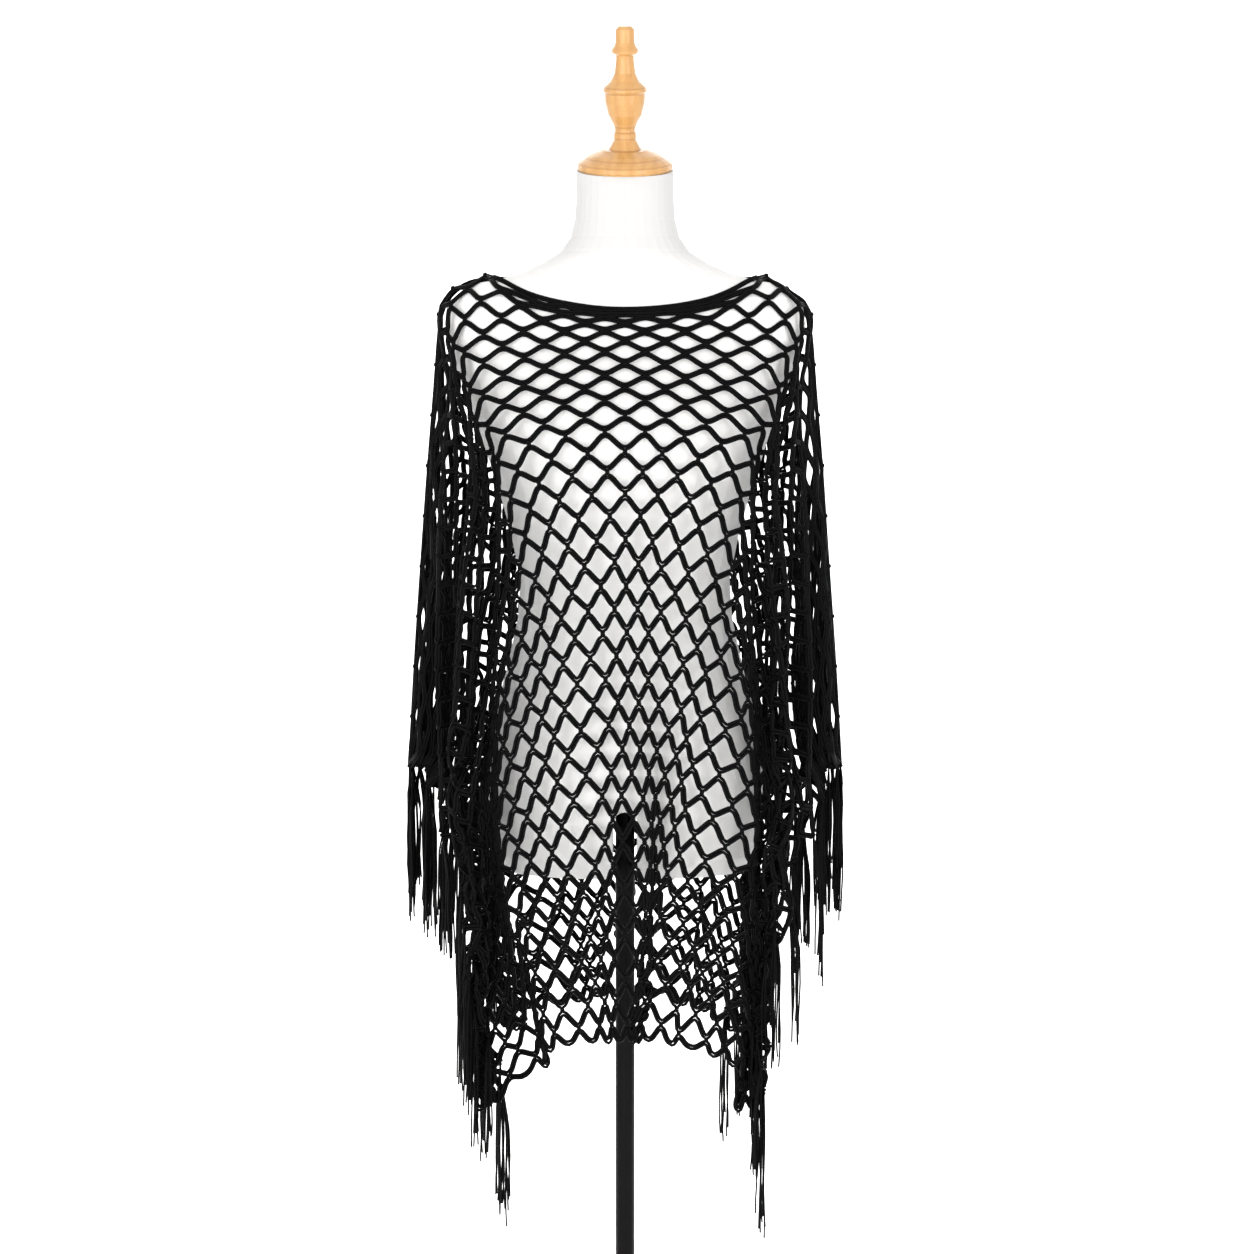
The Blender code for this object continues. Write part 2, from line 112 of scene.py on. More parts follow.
class Finish:
    """A material that is being mixed: its nodes, and the shader that they feed."""

    def __init__(self, name, **constants):
        self.material = bpy.data.materials.new(name)
        self.material.use_nodes = True
        self.tree = self.material.node_tree
        self.shader = self.tree.nodes["Principled BSDF"]
        sockets = {socket.name.lower().replace(" ", "_"): socket for socket in self.shader.inputs}
        for name, value in constants.items():
            sockets[name].default_value = value

    def node(self, kind, settings=None, inputs=None, output=0):
        made = self.tree.nodes.new(kind)
        for key, value in (settings or {}).items():
            if key == "stops":
                for place, colour in value[2:]:
                    made.color_ramp.elements.new(place)
                for stop, (place, colour) in zip(made.color_ramp.elements, sorted(value)):
                    stop.position, stop.color = place, colour
            else:
                setattr(made, key, value)
        for key, value in (inputs or {}).items():
            if isinstance(value, Reading):
                self.tree.links.new(value.socket, made.inputs[key])
            else:
                made.inputs[key].default_value = value
        return Reading(self, made.outputs[output])

    def blend(self, share, first, second):
        return self.node("ShaderNodeMix", {"data_type": "RGBA"}, {0: share, 6: first, 7: second}, 2)

    def place(self):
        return self.node("ShaderNodeTexCoord", output="Object")

    def stretched(self, scale):
        wanted = {"Vector": self.place(), "Scale": scale}
        return self.node("ShaderNodeMapping", {"vector_type": "TEXTURE"}, wanted)

    def noise(self, vector, scale, detail=3.0, roughness=0.5):
        wanted = {"Vector": vector, "Scale": scale, "Detail": detail, "Roughness": roughness}
        return self.node("ShaderNodeTexNoise", {}, wanted)

    def waves(self, vector, direction, scale, more):
        wanted = {"Vector": vector, "Scale": scale, **more}
        return self.node("ShaderNodeTexWave", {"bands_direction": direction}, wanted)

    def mask(self, reading, start, end):
        stops = [(start, RAMP_BLACK), (end, RAMP_WHITE)]
        return self.node("ShaderNodeValToRGB", {"stops": stops}, {"Fac": reading})

    def feed(self, socket, reading):
        self.tree.links.new(reading.socket, self.shader.inputs[socket])

    def bump(self, height, distance, strength=1.0):
        wanted = {"Height": height, "Distance": distance, "Strength": strength}
        self.feed("Normal", self.node("ShaderNodeBump", {}, wanted))


sweep = [(FLOOR_FRONT, 0.0)]
for step in range(SWEEP_STEPS + 1):
    turn = math.pi / 2 * step / SWEEP_STEPS
    sweep.append((SWEEP_START + SWEEP_RADIUS * math.sin(turn), SWEEP_RADIUS * (1 - math.cos(turn))))
sweep.append((SWEEP_START + SWEEP_RADIUS, SWEEP_TALL))
corners = [(x, y, z) for y, z in sweep for x in (-FLOOR_WIDE / 2, FLOOR_WIDE / 2)]
faces = [(2 * k, 2 * k + 1, 2 * k + 3, 2 * k + 2) for k in range(len(sweep) - 1)]
paper_mesh = bpy.data.meshes.new("paper_floor")
paper_mesh.from_pydata(corners, [], faces)
paper_mesh.shade_smooth()
paper_floor = bpy.data.objects.new("paper_floor", paper_mesh)
bpy.context.collection.objects.link(paper_floor)
paper = Finish("pale_paper", base_color=PAPER_WHITE, roughness=0.9)
paper.bump(paper.noise(paper.place(), PAPER_GRAIN), PAPER_GRAIN_DEEP, strength=0.3)
paper_mesh.materials.append(paper.material)

room = bpy.data.worlds.new("bright_room")
room.use_nodes = True
room.node_tree.nodes["Background"].inputs["Color"].default_value = ROOM_WHITE
room.node_tree.nodes["Background"].inputs["Strength"].default_value = ROOM_LIGHT
bpy.context.scene.world = room
bpy.context.scene.view_settings.view_transform = "Standard"
for name, place, aim, size, power in LAMPS:
    bpy.ops.object.light_add(type="AREA", location=place)
    lamp = bpy.context.object
    lamp.name = name
    lamp.rotation_euler = (Vector(aim) - Vector(place)).to_track_quat("-Z", "Y").to_euler()
    lamp.data.size = size
    lamp.data.energy = power
bpy.ops.object.select_all(action="DESELECT")

# The stand is a round steel plate, a flanged collar and a tube, all coated in satin black.
# The coat has a fine dimpled skin, and it is worn a little where the form slides on the tube.
COAT_BLACK = (0.0026, 0.0021, 0.0023, 1)
COAT_WORN = (0.010, 0.009, 0.009, 1)
COAT_ROUGH, COAT_ROUGH_VARIES = 0.34, 0.14
DIMPLE_SCALE = 900.0
DIMPLE_DEEP = 0.00006
RUB_SCALE = 55.0
RUB_STRETCH = (1.0, 1.0, 6.0)
RUBBED_FROM, RUBBED_TO = 0.60, 0.78
RUBBED_MOST = 0.6

coat = Finish("satin_black_coat", specular_ior_level=0.10)
dimples = coat.noise(coat.place(), DIMPLE_SCALE, detail=2.0)
rubs = coat.noise(coat.stretched(RUB_STRETCH), RUB_SCALE, detail=5.0, roughness=0.65)
rubbed = coat.mask(rubs, RUBBED_FROM, RUBBED_TO)
coat.feed("Base Color", coat.blend(rubbed * RUBBED_MOST, COAT_BLACK, COAT_WORN))
coat.feed("Roughness", COAT_ROUGH + COAT_ROUGH_VARIES * rubs)
coat.bump(dimples, DIMPLE_DEEP, strength=0.6)
for node in ("foot_plate", "pole_collar", "pole"):
    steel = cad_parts[node]
    steel.data.materials.clear()
    steel.data.materials.append(coat.material)

# The dress form is a padded torso without limbs under a fitted cover of white cotton jersey.
# Fine knitted ribs run round it. The cover is a little uneven in tone, and its colour is painted darker
# up the neck as painted shade, so the bare neck comes out no brighter than the torso under the net.
JERSEY_LIGHT = (0.965, 0.957, 0.942, 1)
JERSEY_DARK = (0.930, 0.920, 0.904, 1)
# Painted shade: this dark grey is blended into the cover up the neck
JERSEY_NECK_SHADE = (0.560, 0.553, 0.544, 1)
JERSEY_ROUGH, JERSEY_ROUGH_VARIES = 0.76, 0.14
NECK_SHADE_FROM, NECK_SHADE_TO = 1.37, 1.45
NECK_SHADE_MOST = 0.9
CLOUD_SCALE, CLOUD_SHARE = 7.0, 0.55
SPECK_SCALE, SPECK_SHARE = 420.0, 0.25
RIB_APART = 0.0011
RIB_DEEP = 0.00012
# The wave texture repeats once in this length at a scale of 1
WAVE_LENGTH = 2 * math.pi / 20

jersey = Finish("white_jersey", sheen_weight=0.15, sheen_roughness=0.5)
ribs = jersey.waves(jersey.place(), "Z", WAVE_LENGTH / RIB_APART, {"Distortion": 0.6, "Detail": 1.0})
clouds = jersey.noise(jersey.place(), CLOUD_SCALE, detail=4.0)
specks = jersey.noise(jersey.place(), SPECK_SCALE, detail=2.0)
height = jersey.node("ShaderNodeSeparateXYZ", {}, {"Vector": jersey.place()}, 2)
at_neck = jersey.node(
    "ShaderNodeMapRange", {}, {"Value": height, "From Min": NECK_SHADE_FROM, "From Max": NECK_SHADE_TO})
cotton = jersey.blend(CLOUD_SHARE * clouds + SPECK_SHARE * specks, JERSEY_LIGHT, JERSEY_DARK)
# Painted shade is blended in up the neck, growing between the two heights above
jersey.feed("Base Color", jersey.blend(at_neck * NECK_SHADE_MOST, cotton, JERSEY_NECK_SHADE))
jersey.feed("Roughness", JERSEY_ROUGH + JERSEY_ROUGH_VARIES * specks)
jersey.bump(ribs * 0.7 + specks * 0.3, RIB_DEEP, strength=0.7)
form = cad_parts["dress_form"]
form.data.materials.clear()
form.data.materials.append(jersey.material)

# The neck cap is turned from one piece of beech, sanded fine and lacquered clear.
# Long grain runs up the turning, with short dark flecks. At each bead a thin dark line is painted in as painted
# shade in its groove, and the same line presses the groove into the bump.
BEECH_PALE = (0.66, 0.37, 0.125, 1)
BEECH_WARM = (0.50, 0.245, 0.072, 1)
BEECH_FLECK_AND_SHADE = (0.36, 0.16, 0.05, 1)
BEECH_ROUGH, BEECH_ROUGH_VARIES = 0.28, 0.16
GRAIN_SCALE, GRAIN_STRETCH, GRAIN_SHARE = 75.0, (1.0, 1.0, 14.0), 0.6
BAND_SCALE, BAND_STRETCH, BAND_SHARE = 24.0, (1.0, 1.0, 3.5), 0.35
FLECK_SCALE, FLECK_STRETCH, FLECK_SHARE = 520.0, (1.0, 1.0, 9.0), 0.35
FLECKED_FROM, FLECKED_TO = 0.62, 0.72
CAP_FOOT = (0.0, 0.0, 1.539)
CAP_TILT = (math.radians(11), 0.0, 0.0)
CAP_TALL = 0.160
# The painted shade lines in the turned grooves, by their heights over the cap's foot
GROOVE_SHADE_AT = (0.0085, 0.0150, 0.0243, 0.0368, 0.0441, 0.0502, 0.0893, 0.0957)
GROOVE_SHADE_WIDE = 0.0011
GROOVE_SHADE_SHARE = 0.55
LATHE_SCALE = 300.0
LACQUER_DEEP = 0.0004

beech = Finish("lacquered_beech", coat_weight=0.35, coat_roughness=0.18)
grain = beech.noise(beech.stretched(GRAIN_STRETCH), GRAIN_SCALE, detail=6.0, roughness=0.6)
bands = beech.waves(beech.stretched(BAND_STRETCH), "X", BAND_SCALE,
                    {"Distortion": 5.0, "Detail": 3.0, "Detail Scale": 1.6})
flecks = beech.noise(beech.stretched(FLECK_STRETCH), FLECK_SCALE, detail=2.0, roughness=0.4)
flecked = beech.mask(flecks, FLECKED_FROM, FLECKED_TO)
tone = beech.blend(BAND_SHARE * bands + GRAIN_SHARE * grain, BEECH_PALE, BEECH_WARM)
on_cap = beech.node(
    "ShaderNodeMapping",
    {"vector_type": "TEXTURE"},
    {"Vector": beech.place(), "Location": CAP_FOOT, "Rotation": CAP_TILT},
)
height = beech.node("ShaderNodeSeparateXYZ", {}, {"Vector": on_cap}, 2)
stops = [((line + side * GROOVE_SHADE_WIDE) / CAP_TALL, RAMP_BLACK if side else RAMP_WHITE)
         for line in GROOVE_SHADE_AT for side in (-1, 0, 1)]
grooves_and_shade = beech.node("ShaderNodeValToRGB", {"stops": stops}, {"Fac": height / CAP_TALL})
# The dark lines at the grooves blended in here are painted shade; the flecks are the wood's own colour
beech.feed("Base Color", beech.blend(FLECK_SHARE * flecked + GROOVE_SHADE_SHARE * grooves_and_shade, tone, BEECH_FLECK_AND_SHADE))
beech.feed("Roughness", BEECH_ROUGH + BEECH_ROUGH_VARIES * grain)
rings = beech.waves(beech.place(), "Z", LATHE_SCALE, {"Distortion": 0.8})
beech.bump(rings * 0.1 + flecks * 0.1 - grooves_and_shade, LACQUER_DEEP, strength=0.6)
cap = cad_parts["neck_cap"]
cap.data.materials.clear()
cap.data.materials.append(beech.material)

# The net is two knotted panels, front and back, joined along their top edges from the neck slit outwards.
# Each is a lattice of knots; a knot is named by its side, its column and its row from the neck.
# The panels lie on the form's shoulders, and their wide sides hang gathered from the shoulders' tips.
COLUMNS = 29
ROWS = 39
SLIT_COLUMN = 7
TIP_COLUMN = 10.5
STRAND_LONGEST = 0.0320
FORM_POWER = 2.2
# The form's levels: height, half width, depth in front, depth behind
FORM_LEVELS = np.array((
    (0.726, 0.140, 0.092, 0.100), (0.745, 0.150, 0.101, 0.109), (0.790, 0.160, 0.109, 0.117),
    (0.840, 0.162, 0.111, 0.120), (0.900, 0.154, 0.107, 0.115), (0.965, 0.137, 0.099, 0.100),
    (1.020, 0.125, 0.094, 0.090), (1.065, 0.122, 0.095, 0.088), (1.120, 0.133, 0.106, 0.095),
    (1.160, 0.144, 0.117, 0.101), (1.200, 0.157, 0.126, 0.106), (1.235, 0.168, 0.127, 0.109),
    (1.270, 0.180, 0.119, 0.109), (1.305, 0.194, 0.106, 0.106), (1.335, 0.204, 0.093, 0.101),
    (1.362, 0.209, 0.081, 0.094), (1.380, 0.207, 0.074, 0.089), (1.392, 0.199, 0.070, 0.085),
    (1.401, 0.185, 0.067, 0.081), (1.4097, 0.169, 0.064, 0.077), (1.4135, 0.149, 0.063, 0.076),
    (1.420, 0.122, 0.061, 0.075), (1.432, 0.096, 0.0585, 0.071), (1.445, 0.075, 0.056, 0.066),
    (1.462, 0.063, 0.053, 0.060), (1.482, 0.058, 0.051, 0.056), (1.505, 0.0565, 0.050, 0.053),
    (1.539, 0.0560, 0.050, 0.052),
))
# The hanging cloth's levels: height, half width, depth in front, depth behind, depth of its folds
CLOTH_LEVELS = np.array((
    (0.440, 0.2250, 0.1280, 0.1310, 0.0160), (0.550, 0.2240, 0.1270, 0.1300, 0.0180),
    (0.700, 0.2270, 0.1260, 0.1300, 0.0215), (0.850, 0.2300, 0.1250, 0.1290, 0.0225),
    (0.950, 0.2275, 0.1230, 0.1210, 0.0190), (1.040, 0.2260, 0.1240, 0.1150, 0.0145),
    (1.120, 0.2235, 0.1290, 0.1140, 0.0110), (1.190, 0.2212, 0.1350, 0.1170, 0.0088),
    (1.240, 0.2185, 0.1350, 0.1180, 0.0070), (1.290, 0.2170, 0.1185, 0.1150, 0.0040),
    (1.340, 0.2165, 0.1000, 0.1080, 0.0010), (1.385, 0.2155, 0.0850, 0.0960, 0.0000),
))
# The folds from the side, 0, to the middle, 1: place, how far out or in
FOLDS = {
    (0, -1): (
        (0.000, 1.00), (0.070, 0.10), (0.145, 0.80), (0.225, -1.00), (0.305, 0.95), (0.385, -0.75),
        (0.455, 0.85), (0.530, -0.60), (0.600, 0.40), (0.710, -0.16), (0.830, 0.18), (0.920, -0.10),
        (1.000, 0.05),
    ),
    (0, 1): (
        (0.000, 1.00), (0.080, 0.15), (0.160, 0.95), (0.235, -0.90), (0.315, 0.80), (0.395, -0.95),
        (0.470, 0.70), (0.530, -0.55), (0.605, 0.45), (0.700, -0.20), (0.810, 0.14), (0.920, -0.08),
        (1.000, 0.05),
    ),
    (1, -1): (
        (0.000, 1.00), (0.075, 0.20), (0.150, 0.90), (0.230, -0.95), (0.320, 0.85), (0.400, -0.80),
        (0.480, 0.80), (0.560, -0.50), (0.630, 0.35), (0.730, -0.15), (0.850, 0.20), (0.930, 0.00),
        (1.000, -0.10),
    ),
    (1, 1): (
        (0.000, 1.00), (0.075, 0.05), (0.155, 0.85), (0.245, -0.90), (0.325, 0.95), (0.410, -0.75),
        (0.480, 0.70), (0.560, -0.45), (0.640, 0.40), (0.740, -0.18), (0.860, 0.16), (0.940, 0.00),
        (1.000, -0.10),
    ),
}
# The shoulder seam from the slit's end to the tip: distance from the middle, height
SEAM_LINE = (
    (0.1610, 1.4135), (0.1750, 1.4100), (0.1900, 1.4045), (0.2030, 1.3970), (0.2110, 1.3905), (0.2160, 1.3830),
)
# The net hangs a little to the left, most of all halfway along the seams
SEAM_LEAN = 0.007
# The rows down the front's middle as the camera sees them: row, height
ROW_HEIGHTS = (
    (0, 1.377), (2, 1.370), (4, 1.353), (6, 1.330), (8, 1.303), (10, 1.274), (12, 1.238), (14, 1.191),
    (16, 1.140), (18, 1.084), (20, 1.031), (30, 0.757), (32, 0.701), (34, 0.646), (36, 0.593),
    (38, 0.541), (39, 0.518),
)
# How far a row has dropped at ROW_DROP_PLACE from the middle: row, drop
ROW_DROPS = ((0, -0.025), (4, 0.003), (8, 0.018), (14, 0.029), (20, 0.039), (30, 0.047), (39, 0.047))
ROW_DROP_PLACE = 0.144
# Two columns of knots apart, by height
COLUMN_PITCH = (
    (0.5145, 0.0322), (0.6065, 0.0265), (0.6985, 0.0230), (0.8135, 0.0224), (0.9285, 0.0236),
    (1.0435, 0.0288), (1.1125, 0.0322), (1.1700, 0.0391), (1.2160, 0.0437), (1.2390, 0.0472),
    (1.4115, 0.0460),
)
# Lower down the columns draw in to the middle: row, first folded column, how they crowd
DRAWN_IN = (
    (20, 9.34, 1.0), (24, 10.3, 1.05), (28, 11.8, 1.14), (32, 13.6, 1.24), (36, 15.7, 1.33), (39, 17.3, 1.38),
)
# Two pleats in the lower middle: how deep, from where to where between the middle and the folded
# sides, and from which row and over how many rows they grow
PLEAT_DEEP = 0.040
PLEAT_FROM, PLEAT_TO = 0.12, 0.62
PLEAT_ROW, PLEAT_GROWS = 22, 8
# Where the folded sides begin, by height: distance from the middle
FOLDED_FROM = (
    (0.4685, 0.154), (0.6410, 0.154), (0.7400, 0.152), (0.8135, 0.1475), (0.9860, 0.1345),
    (1.0895, 0.1265), (1.1585, 0.129), (1.2160, 0.147), (1.2735, 0.1725), (1.3370, 0.1955),
    (1.3540, 0.202), (1.4150, 0.190),
)
# Its true distance as a share of the one seen, since the folds are nearer the camera
FOLDED_NEARER = 0.972
# How far the rows of the folded sides hang below the shoulder's tip: row, drop
FAR_ROW_DROPS = (
    (0, 0.0), (4, 0.085), (8, 0.178), (12, 0.264), (20, 0.478), (30, 0.706), (39, 0.866),
)
# Where the side edges hang, front and back: height, place between the side, 0, and the middle, 1
SIDE_EDGES = (
    ((0.473, 0.600), (0.528, 0.545), (0.575, 0.50), (0.621, 0.485), (0.668, 0.455), (0.715, 0.39),
     (0.762, 0.33), (0.790, 0.24), (0.820, 0.12), (0.846, 0.0)),
    ((0.538, 0.67), (0.552, 0.64), (0.566, 0.60), (0.580, 0.49), (0.640, 0.46), (0.690, 0.43),
     (0.720, 0.40), (0.762, 0.33), (0.790, 0.24), (0.820, 0.12), (0.846, 0.0)),
)
SIDE_EDGE_TOP = 0.846
# Low down, the side edges on the right hang nearer the middle, and those on the left further away:
# by this much, from this height down, and in full this far below it
EDGE_LEAN = 0.045
EDGE_LEAN_BELOW, EDGE_LEAN_GROWS = 0.72, 0.12
TIP_HEIGHT = 1.3885
HEM_LOWEST = 0.440
# The middle hangs free of the form below this height
FREE_BELOW = 1.34
# From the shoulder's tip, a column further out or a row further down hangs this much lower
STEP_ALONG = 0.0293
STEP_DOWN = 0.0232
# How the two drops add up: 1 would be their sum, and a large power the larger of the two
CORNER_SHARE = 3.3
# Below this height, all but the last columns of the back's corners are drawn in, away from those
CORNER_PULLED = 3.0
CORNER_BELOW = 0.580
# The columns in which a row goes over into the folds: in the top row, more for each row, at most
FOLD_IN_TOP, FOLD_IN_STEP, FOLD_IN = 3, 0.45, 12.0
# How much lower each further column hangs where the folds begin
FOLD_SLOPE = 0.006
# The columns in which the hold on a knot goes over from the middle's to the folded sides'
HOLD_IN = 6.0
# How much denser the folded columns hang at their inner end than at the side: height, share
FOLD_CROWDING = ((0.760, 0.9), (1.060, -0.10))
# The back hangs higher than the front: at the neck, at the hem, and its folded sides
BACK_HIGHER, BACK_HIGHER_ROWS = 0.019, 10
BACK_HEM_HIGHER, BACK_HEM_FROM = 0.055, 0.3
BACK_SHORTER = 0.93
# Places along a level of the hanging cloth, and the points of a fold line
LEVEL_PLACES = np.linspace(0.3, 1, 141)
FOLD_POINTS = 121


def by_table(rows, place, column=1):
    rows = np.asarray(rows, float)
    return np.interp(place, rows[:, 0], rows[:, column])


def seen_at(x, height, depth):
    """A point seen in the plane through the form's middle, moved along the line of sight to that depth."""
    nearer = (depth - CAMERA_PLACE.y) / -CAMERA_PLACE.y
    return x * nearer, CAMERA_PLACE.z + (height - CAMERA_PLACE.z) * nearer


def hanging_point(side, half, place, height):
    """A point of the hanging cloth, by its place between the side, 0, and the middle, 1."""
    folds = np.asarray(FOLDS[side, half])
    k = np.clip(np.searchsorted(folds[:, 0], place) - 1, 0, len(folds) - 2)
    share = np.clip((place - folds[k, 0]) / (folds[k + 1, 0] - folds[k, 0]), 0, 1)
    fold = folds[k, 1] + (0.5 - 0.5 * np.cos(np.pi * share)) * (folds[k + 1, 1] - folds[k, 1])
    fold = fold * by_table(CLOTH_LEVELS, height, 4)
    wide, deep = by_table(CLOTH_LEVELS, height), by_table(CLOTH_LEVELS, height, 2 + side)
    across, out = np.cos(place * np.pi / 2), np.sin(place * np.pi / 2)
    reach = np.hypot(across / wide, out / deep)
    x = wide * np.abs(across) ** (2 / FORM_POWER) + fold * across / wide / reach
    y = deep * np.abs(out) ** (2 / FORM_POWER) + fold * out / deep / reach
    return np.stack([half * x, (2 * side - 1) * np.maximum(y, 0.001), height + 0 * place], -1)


def seen_row_point(column, row):
    """Where the camera sees a knot of the middle: distance from the middle and height."""
    height = middle = by_table(ROW_HEIGHTS, row)
    for _ in range(4):
        x = column / 2 * by_table(COLUMN_PITCH, height)
        if row > DRAWN_IN[0][0]:
            share = column / by_table(DRAWN_IN, row)
            turn = 2 * np.pi * np.clip((share - PLEAT_FROM) / (PLEAT_TO - PLEAT_FROM), 0, 1)
            pleat = PLEAT_DEEP * np.clip((row - PLEAT_ROW) / PLEAT_GROWS, 0, 1) * np.sin(turn)
            x = by_table(FOLDED_FROM, height) * (share ** by_table(DRAWN_IN, row, 2) - pleat)
        height = middle - by_table(ROW_DROPS, row) * (x / ROW_DROP_PLACE) ** 2
    return x, height


def middle_point(side, half, x, height):
    """A knot of the middle, on the cloth where it hangs free and on the form near the neck."""
    if height < FREE_BELOW:
        level = np.full(len(LEVEL_PLACES), max(height, HEM_LOWEST))
        line = hanging_point(side, half, LEVEL_PLACES, level)
        depth = line[np.argmin(np.abs(np.abs(line[:, 0]) - x)), 1]
    else:
        out = min(1.0, x / by_table(FORM_LEVELS, height))
        deep = by_table(FORM_LEVELS, height, 2 + side)
        depth = (2 * side - 1) * deep * (1 - out**FORM_POWER) ** (1 / FORM_POWER)
    seen_x, seen_height = seen_at(x, height, depth)
    return np.array([half * seen_x, depth, seen_height])


def first_folded(row):
    """The column of a row where the folded side begins, and its height there."""
    height = by_table(ROW_HEIGHTS, row)
    for _ in range(8):
        x = by_table(FOLDED_FROM, height)
        height = by_table(ROW_HEIGHTS, row) - by_table(ROW_DROPS, row) * (x / ROW_DROP_PLACE) ** 2
    if row > DRAWN_IN[0][0]:
        return by_table(DRAWN_IN, row), height
    return x / by_table(COLUMN_PITCH, height) * 2, height


def back_hem_lift(row):
    """How much higher a row of the back hangs, more and more towards its hem."""
    return BACK_HEM_HIGHER * max(0.0, row / ROWS - BACK_HEM_FROM) / (1 - BACK_HEM_FROM)


def fold_line(side, half, hang):
    """The folds at a height, from their inner end to the side edge, and how far along each point is."""
    outer = by_table(SIDE_EDGES[side], hang) if hang < SIDE_EDGE_TOP else 0.0
    outer += EDGE_LEAN * half * np.clip((EDGE_LEAN_BELOW - hang) / EDGE_LEAN_GROWS, 0, 1)
    reach = np.clip(FOLDED_NEARER * by_table(FOLDED_FROM, hang) / by_table(CLOTH_LEVELS, hang), 0, 1)
    inner = 2 / np.pi * np.arccos(reach ** (FORM_POWER / 2))
    line = hanging_point(side, half, np.linspace(inner, outer, FOLD_POINTS), np.full(FOLD_POINTS, hang))
    crowding = np.linspace(1 + by_table(FOLD_CROWDING, hang), 1, len(line) - 1)
    steps = np.linalg.norm(np.diff(line, axis=0), axis=1) * crowding
    return line, np.concatenate([[0], np.cumsum(steps)])


def share_of_folds(away, row, first, drop, on_top_edge):
    """How much of the folds at its height lies between a knot and the folds' inner end."""
    last = min(TIP_COLUMN + drop / STEP_ALONG, COLUMNS)
    edge_row = drop / STEP_DOWN
    farthest = (COLUMNS - TIP_COLUMN) * STEP_ALONG
    edge_end = max(0.0, drop**CORNER_SHARE - farthest**CORNER_SHARE) ** (1 / CORNER_SHARE) / STEP_DOWN
    whole = max(0.5, last - min(first, last) + edge_row - edge_end)
    if on_top_edge:
        gone = max(0.0, min(away, last) - first) + max(0.0, edge_row - row)
    else:
        gone = max(0.0, away - first)
    return min(1.0, gone / whole)


def knot_start(side, column, row):
    """Where a knot hangs before the net settles, and how far it belongs to the folded sides."""
    half, away = (1 if column >= 0 else -1), abs(column)
    x, height = seen_row_point(away, row)
    if side == 1:
        in_slit = max(0.0, 1 - (away / (SLIT_COLUMN + row)) ** 2)
        height += BACK_HIGHER * max(0.0, 1 - row / BACK_HIGHER_ROWS) * in_slit
        height += back_hem_lift(row)
    if row == 0 and SLIT_COLUMN <= away <= TIP_COLUMN:
        share = (away - SLIT_COLUMN) / (TIP_COLUMN - SLIT_COLUMN)
        x = SEAM_LINE[0][0] + (SEAM_LINE[-1][0] - SEAM_LINE[0][0]) * share
        return np.array([half * x - SEAM_LEAN * np.sin(np.pi * share), 0.0, by_table(SEAM_LINE, x)]), 1.0
    middle = middle_point(side, half, x, height)
    first, first_height = first_folded(row)
    over = away - first
    if over < -0.5:
        return middle, 0.0
    if side == 1:
        first_height += back_hem_lift(row)
    down = by_table(FAR_ROW_DROPS, row) * (BACK_SHORTER if side else 1)
    along = max(0.0, away - TIP_COLUMN) * STEP_ALONG
    drop = max(1e-6, (along**CORNER_SHARE + down**CORNER_SHARE) ** (1 / CORNER_SHARE))
    share = np.clip(over / min(FOLD_IN, FOLD_IN_TOP + FOLD_IN_STEP * row), 0, 1)
    share = share * share * (3 - 2 * share)
    drop = (1 - share) * (TIP_HEIGHT - first_height + FOLD_SLOPE * max(0.0, over)) + share * drop
    hang = TIP_HEIGHT - drop
    if row == 0:
        folded = hanging_point(side, half, np.array([0.0]), np.array([hang]))[0]
    else:
        line, far = fold_line(side, half, hang)
        pulled = CORNER_PULLED if side == 1 and hang < CORNER_BELOW else 1.0
        along_line = far[-1] * share_of_folds(away, row, first, drop, along > down) ** pulled
        folded = np.array([np.interp(along_line, far, line[:, axis]) for axis in range(3)])
    blend = np.clip(over + 0.5, 0, 1)
    return middle * (1 - blend) + folded * blend, np.clip((over + 0.5) / HOLD_IN, 0, 1)


knot_number = {}
knots = []
for side in (0, 1):
    for row in range(ROWS + 1):
        for column in range(-COLUMNS, COLUMNS + 1):
            if (column + row) % 2 == 0:
                continue
            if side == 1 and row == 0 and abs(column) >= SLIT_COLUMN:
                knot_number[1, column, row] = knot_number[0, column, row]
                continue
            knot_number[side, column, row] = len(knots)
            knots.append((side, column, row))
knots = np.array(knots)
starts = [knot_start(*knot) for knot in knots]
start_places = np.array([place for place, folded in starts])
folded_share = np.array([folded for place, folded in starts])

# The net settles for a short while: strands pull the knots, which keep apart and lie on the form.
# Knots near the neck and in the middle are held near where the picture shows them.
FRAMES = 40
FRAME_RATE = 60
STEPS = 12
GRAVITY = 9.8
AIR_DRAG = 4
SPEED_MOST = 2
# How strongly a knot is held at its start: in the middle, in the folds, how much less low down,
# along the shoulder seams and along the top edge beyond them
HOLD_MIDDLE = 0.25
HOLD_FOLDED = 0.012
HOLD_LOWER_LESS = 0.6
HOLD_SEAM = 1.0
HOLD_TOP_EDGE = 0.5
STRAND_SHORTEST = 0.020
# How much a strand resists being pressed short, and the net being pressed together
STRAND_PRESS = 0.15
NET_PRESS = 0.5
MESH_NARROWEST = 0.0095
EDGE_LONGEST = 0.060
KNOTS_APART = 0.0070
OFF_THE_FORM = 0.0028
# The skin of the form pushes out what has sunk in less than this, between these heights, and grips it
SUNK_MOST = 0.08
SKIN_FROM, SKIN_TO = 0.70, 1.539
SKIN_GRIP = 0.6
# How far front and back stay off the plane between them, and all but the top edge off the side
OFF_MIDDLE_PLANE = 0.001
IN_FROM_SIDE = 0.003
JITTER = 0.0012
